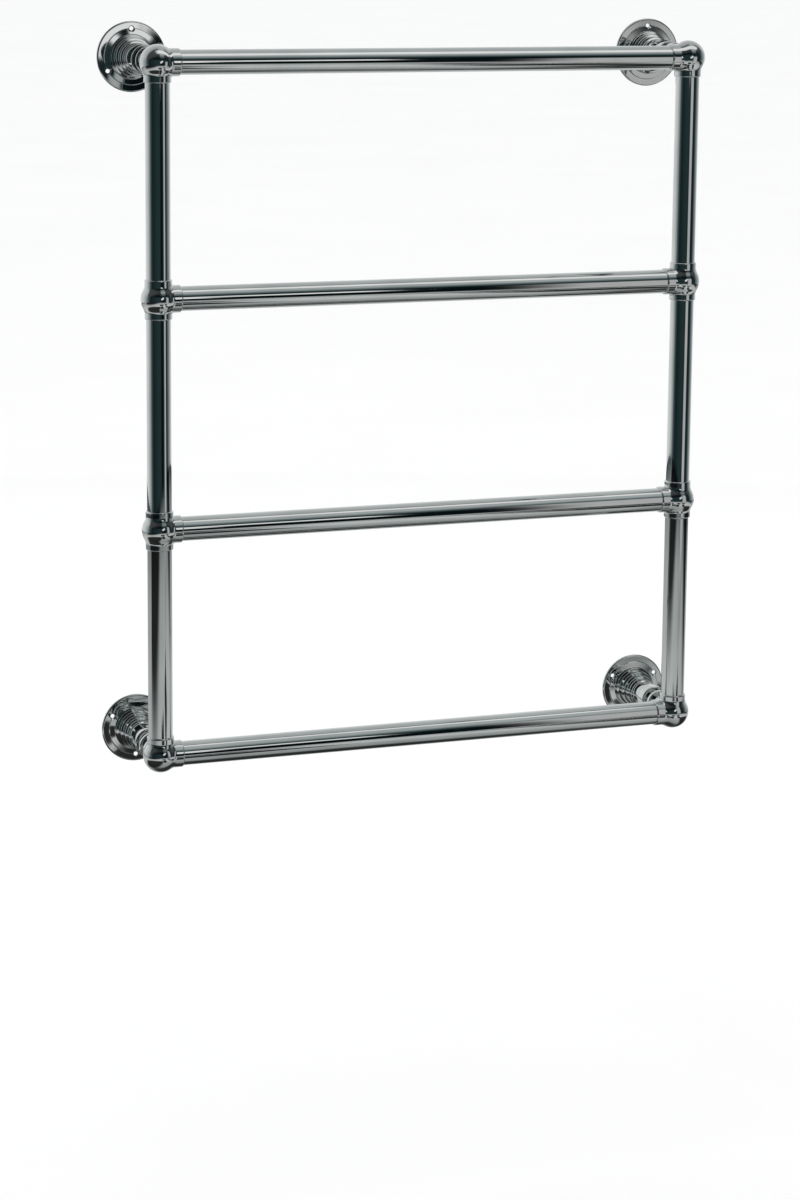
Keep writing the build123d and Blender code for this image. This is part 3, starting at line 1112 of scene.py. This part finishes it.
        level = sheet.ramp(turn, [
            (at(-180), (1.0, 1.0, 1.0)), (at(-124), (0.82, 0.86, 0.86)),
            (at(-112), (0.60, 0.64, 0.65)), (at(-94), (0.34, 0.37, 0.38)),
            (at(-84), (0.10, 0.12, 0.125)), (at(-66), dark), (at(-20), dim), (at(2), dim),
            (at(14), deep), (at(22), deep), (at(34), dim), (at(55), dark), (at(68), dim),
            (at(84), (0.22, 0.25, 0.26)),
            (at(104), (0.47, 0.5, 0.51)), (at(124), (0.84, 0.88, 0.88)), (at(180), (1.0, 1.0, 1.0)),
        ])
        rise = sheet.spread(sheet.maths("ARCTAN2", z, front), 0.0, 1.0, 0.0, math.pi)
        over = sheet.ramp(rise, [
            (0.0, deep), (20 / 180, deep), (30 / 180, (0.03, 0.05, 0.052)),
            (40 / 180, (0.15, 0.18, 0.185)), (52 / 180, (0.36, 0.39, 0.39)),
            (84 / 180, (0.40, 0.43, 0.43)), (113 / 180, (0.39, 0.41, 0.41)),
            (140 / 180, (0.52, 0.54, 0.54)), (1.0, (0.7, 0.7, 0.7)),
        ])
        height = sheet.maths("ARCSINE", z)
        high = sheet.spread(height, 0.0, 1.0, math.radians(14), math.radians(26), smooth=True)
        # In front, the high sky lights only the strip that the rails mirror
        strip = sheet.maths("ABSOLUTE", sheet.maths("SUBTRACT", x, RAIL_STRIP))
        strip = sheet.spread(strip, SKY_LIFT, 0.2, 0.13, 0.30, smooth=True)
        rear = sheet.spread(rise, 0.0, SKY_LIFT, 84 / 180, 112 / 180, smooth=True)
        lift = sheet.maths("MAXIMUM", strip, rear)
        lifted = sheet.add(
            "ShaderNodeVectorMath", operation="SCALE", links=[(0, over), ("Scale", lift)]
        )
        mix = sheet.add(
            "ShaderNodeMix", data_type="RGBA", links=[(0, high), (6, level), (7, lifted.outputs[0])]
        )
        mirrored = sheet.add("ShaderNodeBackground", links=[("Color", mix.outputs[2])])
        white = [("Color", (1, 1, 1, 1)), ("Strength", stage.room_light)]
        even = sheet.add("ShaderNodeBackground", values=white)
        seen = sheet.add("ShaderNodeBackground", values=[("Color", (0.99, 0.99, 0.99, 1))])
        rays = sheet.add("ShaderNodeLightPath")
        first = sheet.add("ShaderNodeMixShader", links=[
            (0, rays.outputs["Is Diffuse Ray"]), (1, mirrored.outputs[0]), (2, even.outputs[0]),
        ])
        second = sheet.add("ShaderNodeMixShader", links=[
            (0, rays.outputs["Is Camera Ray"]), (1, first.outputs[0]), (2, seen.outputs[0]),
        ])
        sheet.show(second.outputs[0], "ShaderNodeOutputWorld")

    def camera(self, stage):
        """The camera, shifted a little so that the rack sits high in the picture."""
        data = bpy.data.cameras.new("camera")
        thing = placed("camera", data)
        bpy.context.scene.camera = thing
        turn, tilt, roll = stage.camera_turn, stage.camera_tilt, stage.camera_roll
        level = Vector((math.sin(turn), math.cos(turn), 0))
        right = Vector((math.cos(turn), -math.sin(turn), 0))
        ahead = level * math.cos(tilt) + DOWN * math.sin(tilt)
        up = level * math.sin(tilt) + UP * math.cos(tilt)
        right, up = (
            right * math.cos(roll) - up * math.sin(roll),
            right * math.sin(roll) + up * math.cos(roll),
        )
        basis = Matrix((right, up, -ahead)).transposed().to_4x4()
        thing.matrix_world = Matrix.Translation(stage.camera_place) @ basis
        data.sensor_width = 36
        data.lens = stage.lens
        data.shift_y = stage.camera_shift
        data.clip_start, data.clip_end = 0.05, 300

    def execute(self, context):
        stage = context.scene.towel_rack.stage
        context.scene.view_settings.view_transform = "Standard"
        self.floor(stage)
        self.panels(stage)
        self.sky(stage)
        self.camera(stage)
        return {"FINISHED"}


OPERATORS = (
    RACK_OT_tubes, RACK_OT_ball_fittings, RACK_OT_wall_flanges, RACK_OT_unions,
    RACK_OT_small_pieces, RACK_OT_stage,
)


class RACK_PT_panel(Panel):
    """Lists the rack's pieces and their settings"""

    bl_idname = "RACK_PT_panel"
    bl_label = "Towel Warmer Rack"
    bl_space_type = "VIEW_3D"
    bl_region_type = "UI"
    bl_category = "Towel Rack"

    def draw(self, context):
        layout = self.layout
        for operator in OPERATORS:
            layout.operator(operator.bl_idname)
        rack = context.scene.towel_rack
        groups = (rack.tubes, rack.fittings, rack.flanges, rack.unions, rack.finishes, rack.stage)
        for group in groups:
            box = layout.box()
            for name in group.bl_rna.properties.keys():
                if name not in ("rna_type", "name"):
                    box.prop(group, name)


CLASSES = (
    TubeSettings, FittingSettings, FlangeSettings, UnionSettings, FinishSettings,
    StageSettings, RackSettings, *OPERATORS, RACK_PT_panel,
)


def register():
    for cls in CLASSES:
        bpy.utils.register_class(cls)
    bpy.types.Scene.towel_rack = PointerProperty(type=RackSettings)


def unregister():
    del bpy.types.Scene.towel_rack
    for cls in reversed(CLASSES):
        bpy.utils.unregister_class(cls)


def main():
    register()
    bpy.ops.rack.tubes()
    bpy.ops.rack.ball_fittings()
    bpy.ops.rack.wall_flanges()
    bpy.ops.rack.unions()
    bpy.ops.rack.small_pieces()
    bpy.ops.rack.stage()


if __name__ == "__main__":
    main()
